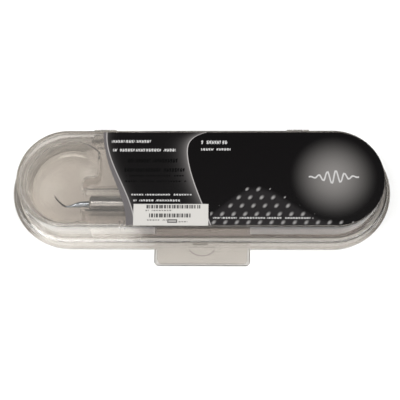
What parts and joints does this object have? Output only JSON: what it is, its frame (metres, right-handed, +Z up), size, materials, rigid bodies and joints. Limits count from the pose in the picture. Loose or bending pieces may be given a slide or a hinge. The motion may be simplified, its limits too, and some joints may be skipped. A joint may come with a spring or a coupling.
{
  "type": "ultrasonic scaler insert in storage case",
  "caption": "Magnetostrictive ultrasonic scaler insert with a curved steel tip, lying in a clear stadium-shaped hinged storage case with a printed film lid label.",
  "frame": {"origin": "centre of the case's resting face, midway between its ends and on the middle line of its stadium outline", "axes": "+X along the case away from the scaler tip, +Y towards the hinge side, +Z up through the lid's flat top"},
  "size_m": [0.2014, 0.0758, 0.0262],
  "materials": {
    "clear_plastic": "clear moulded plastic, gloss",
    "pin_steel": "drawn wire",
    "black_film": "printed semi-gloss film",
    "white_sticker": "matt printed paper",
    "polished_steel": "polished",
    "satin_steel": "turned, satin",
    "white_bush": "turned plastic",
    "seal_rubber": "moulded rubber",
    "silver_braze": "brazed",
    "nickel_strip": "oxidised nickel strip"
  },
  "bodies": {
    "case": {"case_base": "clear_plastic", "insert_cradle": "clear_plastic", "hinge_pin_left": "pin_steel", "hinge_pin_right": "pin_steel"},
    "lid": {"case_lid": "clear_plastic", "printed_film": "black_film", "code_sticker": "white_sticker"},
    "insert": {"scaler_tip": "polished_steel", "connecting_body": "satin_steel", "grip_sleeve": "satin_steel", "nose_bush": "white_bush", "cross_pin": "pin_steel", "inner_seal_front": "seal_rubber", "inner_seal_rear": "seal_rubber", "seal_collar": "satin_steel", "handpiece_seal": "seal_rubber", "spring_clip": "pin_steel", "front_braze": "silver_braze", "nickel_laminations": "nickel_strip", "rear_braze": "silver_braze"}
  },
  "joints": [
    {"name": "lid_hinge", "type": "hinge", "parent": "case", "child": "lid", "pos_m": [0, 0.0329, 0.0044], "axis": [-1, 0, 0], "range_deg": [0, 110]},
    {"name": "insert_lift", "type": "slide", "parent": "case", "child": "insert", "axis": [0, 0, 1], "range_m": [0, 0.0075]}
  ]
}
